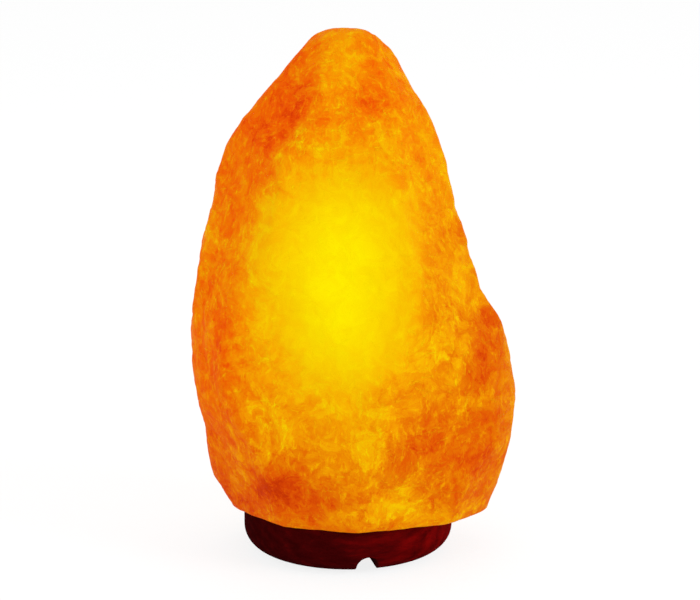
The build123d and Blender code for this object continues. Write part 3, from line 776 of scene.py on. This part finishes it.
# pressed steatite: chalky white with grey specks
def steatiteFinish():
    stone = Finish("pressedSteatite", Specular_IOR_Level=0.4)
    speck = stone.step(stone.noise(1400, 3, 0.6), 0.60, 0.68)
    cloud = stone.noise(180, 4, 0.6)
    shade = stone.ramp(cloud, (0.3, 222, 216, 200), (0.7, 238, 234, 222))
    return stone.feed(Base_Color=stone.mixed(speck * 0.5, shade, colour(150, 144, 130)),
                      Roughness=0.62 + cloud * 0.2, Normal=stone.bump(speck + cloud, 0.00006, 0.6))


# black glass: near black with small bubbles and a fire-polished skin
def blackGlassFinish():
    jet = Finish("blackGlass", Specular_IOR_Level=0.6, IOR=1.55)
    bubble = jet.step(jet.noise(900, 3, 0.6), 0.60, 0.7)
    wave = jet.noise(260, 3, 0.5)
    shade = jet.ramp(wave, (0.3, 12, 12, 16), (0.7, 28, 27, 34))
    return jet.feed(Base_Color=jet.mixed(bubble * 0.4, shade, colour(48, 46, 54)), Roughness=0.08 + bubble * 0.2,
                    Normal=jet.bump(wave, 0.0001, 0.5))


# clear glass: faint draw lines in the skin, a trace of bloom
def clearGlassFinish(name, tint):
    clear = Finish(name, Transmission_Weight=1.0, IOR=1.47, Specular_IOR_Level=0.5)
    draw = clear.noise(120, 3, 0.5, 0.3, clear.mapped(clear.place, (1, 1, 0.12)))
    bloom = clear.step(clear.noise(340, 3, 0.6), 0.62, 0.78)
    return clear.feed(Base_Color=clear.mixed(bloom * 0.2, tint, colour(236, 236, 232)),
                      Roughness=bloom * 0.05 + 0.01, Normal=clear.bump(draw, 0.00012, 0.35))


# glowing tungsten: a little cooler in patches
def tungstenFinish():
    hot = Finish("hotTungsten", Metallic=0.6, Roughness=0.5, Emission_Strength=9.0)
    patch = hot.noise(500, 3, 0.6)
    shade = hot.ramp(patch, (0.3, 255, 176, 84), (0.7, 255, 214, 140))
    return hot.feed(Base_Color=hot.mixed(patch, colour(120, 112, 104), colour(160, 150, 138)), Emission_Color=shade)


ivoryMoulding, steatite, blackGlass = mouldingFinish(), steatiteFinish(), blackGlassFinish()

# finishes for the solids that stay as they are
for node, slot, finish in (
    ("base_screws", "screw_steel", zincSteel),
    ("terminal_screws", "screw_steel", zincSteel),
    ("holder_core", "steatite", steatite),
    ("centre_contact", "contact_brass", stampedBrass),
    ("shell_strap", "contact_brass", stampedBrass),
    ("terminals", "contact_brass", stampedBrass),
):
    solid = cadNodes[node]
    solid.data.materials.clear()
    solid.data.materials.append(finish)
print("finishes ready")

# cord nipple and its nut; from here on all sizes are in millimetres
nippleShape = dict(outer=5.0, bore=3.75, pitch=1.0, depth=0.32, ease=0.35, spacing=0.14, fade=0.6)
nutShape = dict(half=7.0, bore=5.05, lead=0.3, chamfer=0.5, face=6.0, cap=7.35, corner=9.0, spacing=0.5)


# thread wave, 0 at the crest and 1 at the root: half of 1 - cos(2 pi (height / pitch) - angle), faded at both ends
def threadWave(height, angle, pitch, low, high, fade):
    wave = 0.5 - 0.5 * np.cos(2 * math.pi * height / pitch - angle)
    return wave * smoothStep(low, low + fade, height) * smoothStep(high, high - fade, height)


# nipple: a tube, its outside cut by the thread wave
def nippleGrid(outer, bore, pitch, depth, ease, spacing, fade):
    low, high = heights("nipple")

    def cut(radius, height, angle):
        return -depth * threadWave(height, angle, pitch, low, high, fade) * (radius > outer - 0.2)

    return lathe(ringCut(bore, outer, low, high), ease, spacing, 64, cut)


# nut: the radius is the smaller of the hexagon's, half width / cos of the angle from the flat's middle, and a cone's
def nutGrid(half, bore, lead, chamfer, face, cap, corner, spacing):
    low, high = heights("lock_nut")
    corners = [[bore, low + lead], [bore + lead, low], [face, low], [cap, low], [corner, low + chamfer],
               [corner, high - chamfer], [cap, high], [face, high], [bore + lead, high], [bore, high - lead]]

    def hexagon(radius, height, angle):
        return np.minimum(radius, half / np.cos(np.mod(angle, math.pi / 3) - math.pi / 6)) - radius

    return lathe(corners, 0, spacing, 144, hexagon)


# spring clip: a ring with three bowed arms
clipShape = dict(
    thickness=0.8, ring=10.5, bore=5.1, ringEase=0.2, armFrom=7.5, armWidth=8.0, armEase=0.25, bow=36.37,
    bowCentre=-14.38, angles=(90, 210, 330), bend=2.2, tip=3.0,
)


# ring: a flat washer with eased edges, turned
def clipRing():
    size = clipShape
    low = heights("spring_clip")[0]
    cut = ringCut(size["bore"], size["ring"], low, low + size["thickness"])
    return lathe(cut, size["ringEase"], 1.0, 96, steps=4)


# arm: a strip carried out from the ring, round the foot and up the bow, its end drawn in to a half round
def clipArm():
    low, high = heights("spring_clip")
    size = clipShape
    middle = (low + high) / 2
    plane = low + size["thickness"] / 2
    rise = np.linspace(plane - middle, high - middle - 0.15, 40)
    bow = np.stack([size["bowCentre"] + np.sqrt(size["bow"] ** 2 - rise**2), middle + rise], -1)
    line = np.concatenate([[[size["armFrom"], plane]], bow])
    line = finer(easedProfile(line, [0, size["bend"]] + [0] * (len(bow) - 1), 9, closed=False), 0.8, closed=False)
    path = np.stack([line[:, 0], line[:, 0] * 0, line[:, 1]], -1)
    halfWidth, halfThick = size["armWidth"] / 2, size["thickness"] / 2 - 0.03
    section = ringCut(-halfThick, halfThick, -halfWidth, halfWidth)
    arm = carried(path, finer(easedProfile(section, size["armEase"], 4), 1.0), (0, 1, 0))
    left = np.concatenate([[[0]], (path[-1:, 2] - path[:, 2])[:, None], [[0]]])[..., None]
    narrow = np.where(left < size["tip"], np.sqrt(np.clip(1 - (1 - left / size["tip"]) ** 2, 0.05, 1)), 1)
    return arm * (np.array([1, 0, 1]) + narrow * np.array([0, 1, 0]))


steelParts = ("holder", "spring_steel", springSteel)
gridPiece("cordNipple", [nippleGrid(**nippleShape)], *steelParts, "nipple", wrapRows=True, sharp=50)
gridPiece("lockNut", [nutGrid(**nutShape)], *steelParts, "lock_nut", wrapRows=True, sharp=25)
gridPiece("springClip", [clipRing()], *steelParts, "spring_clip", wrapRows=True, sharp=50)
gridPiece("springArms", copiesRound(clipArm(), clipShape["angles"]), *steelParts, "spring_clip", sharp=50)

# lampholder: a ribbed cap and a plain skirt screwed to it; corners are radius and height
holderCap = dict(
    corners=((5.05, 23.8), (13.8, 23.8), (13.8, 43.8), (11.4, 43.8), (11.4, 47.8), (9.6, 47.8), (9.6, 29.8),
             (5.05, 29.8)),
    ease=(0.3, 1.6, 0.4, 0, 0.4, 0.3, 0.8, 0.3), spacing=0.8, ribs=40, ribDepth=0.45, ribFrom=26.0,
    ribTo=41.5, ribFade=1.2, ribInside=12,
)
holderSkirt = dict(
    corners=((11.55, 43.8), (13.8, 43.8), (13.8, 46.2), (13.4, 46.6), (13.4, 47.2), (13.8, 47.6), (13.8, 49.4),
             (13.4, 49.8), (13.4, 50.4), (13.8, 50.8), (13.55, 77.0), (13.2, 78.8), (10.4, 78.8), (10.4, 53.8),
             (11.55, 53.8)),
    ease=(0.2, 0.5, 0.2, 0.2, 0.2, 0.2, 0.2, 0.2, 0.2, 0.2, 1.2, 0.9, 0.9, 0.2, 0.2), spacing=1.0, columns=144,
)


# ribs: the radius loses depth x (half of 1 - cos(ribs x angle))^0.6 between two heights
def capGrid(corners, ease, spacing, ribs, ribDepth, ribFrom, ribTo, ribFade, ribInside):
    def ribbed(radius, height, angle):
        band = smoothStep(ribFrom, ribFrom + ribFade, height) * smoothStep(ribTo, ribTo - ribFade, height)
        return -ribDepth * band * (0.5 - 0.5 * np.cos(ribs * angle)) ** 0.6 * (radius > ribInside)

    return lathe(corners, ease, spacing, ribs * 8, ribbed)


plasticParts = ("holder", "holder_plastic", ivoryMoulding)
gridPiece("holderCap", [capGrid(**holderCap)], *plasticParts, "holder_cap", wrapRows=True, sharp=40)
gridPiece("holderSkirt", [lathe(**holderSkirt)], *plasticParts, "holder_skirt", wrapRows=True, sharp=40)

# screw shell and bulb cap share one rolled thread
threadPitch = 2.82
shellShape = dict(inner=7.15, wall=0.3, ease=0.08, spacing=0.22, depth=0.3)
bulbCapShape = dict(
    tip=5.6, crest=6.85, depth=0.45,
    thread=(1.4, 14.8),  # from where to where above the tip
    fade=1.4, threadInside=6, collar=7.55, collarFrom=16.4, lip=7.25,
    ease=(0, 0.4, 0.8, 0.4, 0.8, 0.12, 0.12, 0, 0), spacing=0.25,
)


# shell: one radius for the inside and one for the outside, both swelling at the thread's crest
def shellGrid(inner, wall, ease, spacing, depth):
    low, high = heights("screw_shell")

    def swell(radius, height, angle):
        crest = 0.5 + 0.5 * np.cos(2 * math.pi * height / threadPitch - angle)
        return depth * crest * smoothStep(low + 0.6, low + 2.4, height) * smoothStep(high - 0.2, high - 1.6, height)

    return lathe(ringCut(inner, inner + wall, low, high), ease, spacing, 96, swell, steps=3)


# bulb cap: a cup from its tip to the seat of the glass, its outside cut by the thread wave
def bulbCapGrid(tip, crest, depth, thread, fade, threadInside, collar, collarFrom, lip, ease, spacing):
    low, high = heights("bulb_cap")
    seat = heights("bulb_glass")[0]
    start, end = (low + height for height in thread)
    corners = [[0, low], [tip, low], [crest - 0.1, low + 1.2], [crest, low + 14.6], [collar, low + collarFrom],
               [collar, high], [lip, high], [lip, seat], [0, seat]]

    def cut(radius, height, angle):
        return -depth * threadWave(height, angle, threadPitch, start, end, fade) * (radius > threadInside)

    return lathe(corners, ease, spacing, 96, cut, closed=False)


gridPiece("screwShell", [shellGrid(**shellShape)], "holder", "shell_brass", rolledBrass, "screw_shell",
          wrapRows=True, sharp=60)
gridPiece("bulbCap", [bulbCapGrid(**bulbCapShape)], "bulb", "cap_metal", nickelPlate, "bulb_cap", sharp=60)

# solder contact and black insulator
contactShape = dict(radius=2.4, ease=(0, 0.5, 0.4, 0.2, 0, 0), lumpSize=1.1, lumps=0.05)
insulatorShape = dict(ease=(0, 0.5, 0.9, 0.2, 0, 0), spacing=0.3)


# contact: a low dome whose side is slightly lumpy, by a noise
def contactGrid(radius, ease, lumpSize, lumps):
    low, high = heights("bulb_contact")
    corners = [[0, low], [1.3, low + 0.04], [2.1, low + 0.35], [radius, low + 0.8], [radius, high], [0, high]]
    dome = lathe(corners, ease, 0.2, 48, closed=False)
    side = (dome[..., 2] > low + 0.1) * (dome[..., 2] < high - 0.1)
    return dome * (1 + (layered(dome, lumpSize, 2, 7) * lumps * side / radius)[..., None] * [1, 1, 0])


# insulator: a short cone up from the contact, then straight to the cap, turned
def insulatorGrid(ease, spacing):
    low, high = heights("cap_insulator")
    corners = [[0, low], [2.6, low], [4.2, low + 1.0], [5.2, high - 0.4], [5.2, high], [0, high]]
    return lathe(corners, ease, spacing, 72, closed=False)


gridPiece("solderContact", [contactGrid(**contactShape)], "bulb_contact", "solder", tinSolder, "bulb_contact")
gridPiece("capInsulator", [insulatorGrid(**insulatorShape)], "bulb", "black_glass", blackGlass, "cap_insulator")

# bulb glass: a blown tube with a round end, drawn in to a neck
glassShape = dict(radius=12.5, neck=7.2, wall=0.7, shoulderLow=83.15, shoulderHigh=90.5, spacing=1.6)


# outside: the neck, an S from neck to tube by 3t^2 - 2t^3, the tube and a half ball; inside: the same less the wall
def glassGrid(radius, neck, wall, shoulderLow, shoulderHigh, spacing):
    low, high = heights("bulb_glass")
    rise = np.linspace(shoulderLow, shoulderHigh, 18)
    ball = np.radians(np.linspace(0, 90, 20))

    def side(inset):
        outer, inner = radius - inset, neck - inset
        shoulder = np.stack([inner + (outer - inner) * smoothStep(shoulderLow, shoulderHigh, rise), rise], -1)
        dome = np.stack([outer * np.cos(ball), high - radius + outer * np.sin(ball)], -1)
        dome[-1, 0] = 0
        return finer(np.concatenate([[[inner, low]], shoulder, dome]), spacing, closed=False)

    return turned(np.concatenate([side(0)[::-1], side(wall)]), 96)


# glass stem: height, half width and half thickness at each station; foot and tip count from the stem's ends
stemShape = dict(
    foot=((0, 6.5, 6.5), (0.5, 6.3, 6.3), (2.2, 3.2, 3.2), (5, 2.4, 2.4)),
    shaft=((89, 2.4, 2.3), (91, 3.4, 1.1), (95, 3.4, 1.1), (96.5, 1.0, 1.0), (100.2, 0.9, 0.9), (100.8, 1.5, 1.5)),
    tip=((-0.1, 1.5, 1.5), (0, 0.9, 0.9)), rows=140, sides=48,
)


# stem: a flare that draws in to a tube, a flat pinch and a rod with a button; ellipses between the stations
def stemGrid(foot, shaft, tip, rows, sides):
    low, high = heights("bulb_stem")
    stations = [(low + z, *halves) for z, *halves in foot] + [*shaft] + [(high + z, *halves) for z, *halves in tip]
    places, along, beside = np.array(stations).T
    height = np.linspace(low, high, rows)[:, None]
    along, beside = np.interp(height, places, along), np.interp(height, places, beside)
    angle = ringAngles(sides)
    grid = np.stack([along * np.cos(angle), beside * np.sin(angle), height + angle * 0], -1)
    ends = [np.full((1, sides, 3), (0, 0, z)) for z in (low, high)]
    return np.concatenate([ends[0], grid, ends[1]])


bulbClear = clearGlassFinish("bulbClear", colour(255, 252, 246))
stemClear = clearGlassFinish("stemClear", colour(246, 250, 246))
gridPiece("bulbGlass", [glassGrid(**glassShape)], "bulb", "bulb_glass", bulbClear, "bulb_glass")
gridPiece("glassStem", [stemGrid(**stemShape)], "bulb", "bulb_glass", stemClear, "bulb_stem", sharp=50)

# wires in the bulb
wires = dict(lead=0.3, support=0.14, coil=0.24, strand=0.07, turns=84, ring=7.0, sag=0.45, clear=0.28,
             bends=(45, 90, 135))


# leads: straight out of the pinch, then splayed on one smooth curve to a small hook at the filament
def leadGrids():
    low, high = heights("lead_wires")
    points = [[2.2, 0, low - 3], [2.2, 0, low + 2], [3.1, 0, low + 6], [5.9, 0, low + 12], [6.9, 0, high - 1.2],
              [7.0, 0, high + 0.25], [6.95, 0.35, high + 0.45]]
    sides = [smoothPath(points * np.array([side, 1, 1]), 8) for side in (1, -1)]
    return [carried(path, roundSection(wires["lead"], 10), (0, 1, 0)) for path in sides]


# where the filament's middle runs: half a ring, sagging between its supports by sag x sin^2 of the share of each run
def filamentLine(share):
    drop = wires["sag"] * np.sin(4 * math.pi * share) ** 2 * 0.5
    height = heights("filament")[0] + wires["clear"]
    return ringPoints(wires["ring"], -math.pi * share, height - drop)


# filament: a fine coil round that line, its strand carried along the helix
def filamentGrid():
    share = np.linspace(0, 1, wires["turns"] * 12)
    outward = ringPoints(1, -math.pi * share, 0)
    spin = (2 * math.pi * wires["turns"] * share)[:, None]
    helix = filamentLine(share) + wires["coil"] * (outward * np.cos(spin) + np.array([0, 0, 1]) * np.sin(spin))
    along = np.gradient(helix, axis=0)
    return carried(helix, roundSection(wires["strand"], 6), np.cross(along, outward + [0, 0, 0.3]))


# supports: fine wires from the button to each bend, each ending in a small curl round the coil
def supportGrids():
    grids = []
    for degrees in wires["bends"]:
        spoke = ringPoints(1, math.radians(-degrees), 0)
        top = filamentLine(np.array([degrees / 180]))[0]
        points = [spoke * out + [0, 0, z] for out, z in ((0.9, 100.9), (2.4, 101.6), (4.6, 105.5), (6.6, 110.2))]
        points += [top - [0, 0, 0.42], top + spoke * 0.4, top + [0, 0, 0.36], top - spoke * 0.34]
        across = np.array([-spoke[1], spoke[0], 0])
        grids.append(carried(smoothPath(points, 7), roundSection(wires["support"], 8), across))
    return grids


fine = dict(weld=1e-7, sharp=60)
gridPiece("leadWires", leadGrids(), "bulb", "lead_metal", drawnWire, "lead_wires", **fine)
gridPiece("coiledFilament", [filamentGrid()], "bulb", "filament", tungstenFinish(), "filament", **fine)
gridPiece("filamentSupports", supportGrids(), "bulb", "lead_metal", drawnWire, "filament_supports", **fine)
print("lampholder and bulb made")

# stage: a pale sheet that the lamp stands on, a white room and three square lamps
studio = dict(
    floorHalf=7.0, floorPale=0.9,
    ownWhite=0.78,  # how much of the floor the camera sees is plain white
    roomLevel=0.62,
    roomSeen=1.068,  # makes up for the lit floor's share, which is a little grey
    aim=(0, 0, 0.12),
    lights=(  # name, place, side, watts
        ("keyLight", (1.2, -1.05, 0.75), 0.8, 16.0),
        ("fillLight", (-1.3, -0.9, 0.5), 1.2, 9.0),
        ("topLight", (0.1, 0.5, 1.6), 1.2, 5.0),
    ),
)


# the camera sees the floor as mostly white, with the lamp's shadow kept, and doesn't see it from below
def floorFinish():
    pale = Finish("paleFloor", Roughness=0.9, Specular_IOR_Level=0.0)
    grain = pale.noise(40, 3, 0.6)
    pale.feed(Base_Color=pale.mixed(grain * 0.3, (studio["floorPale"],) * 3 + (1,), (0.9, 0.9, 0.9, 1)),
              Normal=pale.bump(grain, 0.0002, 0.1))
    through = pale.node("ShaderNodeBsdfTransparent")
    lit = Wire(pale, pale.shader.outputs[0])
    surface = pale.node("ShaderNodeMixShader", {0: pale.lookedAt() * studio["ownWhite"], 1: lit, 2: through})
    below = pale.node("ShaderNodeNewGeometry", out="Backfacing")
    pale.join(pale.output.inputs[0], pale.node("ShaderNodeMixShader", {0: below, 1: surface, 2: through}))
    return pale.material


half = studio["floorHalf"]
floorMesh = bpy.data.meshes.new("floor")
floorMesh.from_pydata([(-half, -half, 0), (half, -half, 0), (half, half, 0), (-half, half, 0)], [], [(0, 1, 2, 3)])
floorMesh.materials.append(floorFinish())
floor = addObject("floor", floorMesh)

# room: white where it is looked at, and a level soft light elsewhere
room = bpy.data.worlds.new("room")
bpy.context.scene.world = room
room.use_nodes = True
sky = Shading(room.node_tree)
background = room.node_tree.nodes["Background"]
background.inputs["Color"].default_value = (1, 1, 1, 1)
strength = {"Value": sky.lookedAt(), "To Min": studio["roomLevel"], "To Max": studio["roomSeen"]}
sky.join(background.inputs["Strength"], sky.node("ShaderNodeMapRange", strength))

# square lamps, each turned to look at the crystal's middle
for name, place, side, watts in studio["lights"]:
    light = bpy.data.lights.new(name, "AREA")
    light.size, light.energy = side, watts
    lamp = addObject(name, light)
    lamp.location = place
    lamp.rotation_euler = (Vector(studio["aim"]) - Vector(place)).to_track_quat("-Z", "Y").to_euler()

# camera: the photograph's place and lens
shot = dict(climb=15.0, distance=1.812, lens=200.0, sensor=36.0, across=0.93 * mm, height=120 * mm)
climb = math.radians(shot["climb"])
aim = Vector((shot["across"] * math.cos(viewTurn), shot["across"] * math.sin(viewTurn), shot["height"]))
back = Vector((math.sin(viewTurn) * math.cos(climb), -math.cos(viewTurn) * math.cos(climb), math.sin(climb)))
camera = addObject("camera", bpy.data.cameras.new("camera"))
camera.data.lens, camera.data.sensor_width = shot["lens"], shot["sensor"]
camera.location = aim + back * shot["distance"]
camera.rotation_euler = back.to_track_quat("Z", "Y").to_euler()
bpy.context.scene.camera = camera
bpy.context.scene.view_settings.view_transform = "Standard"
print("stage, lights and camera set")
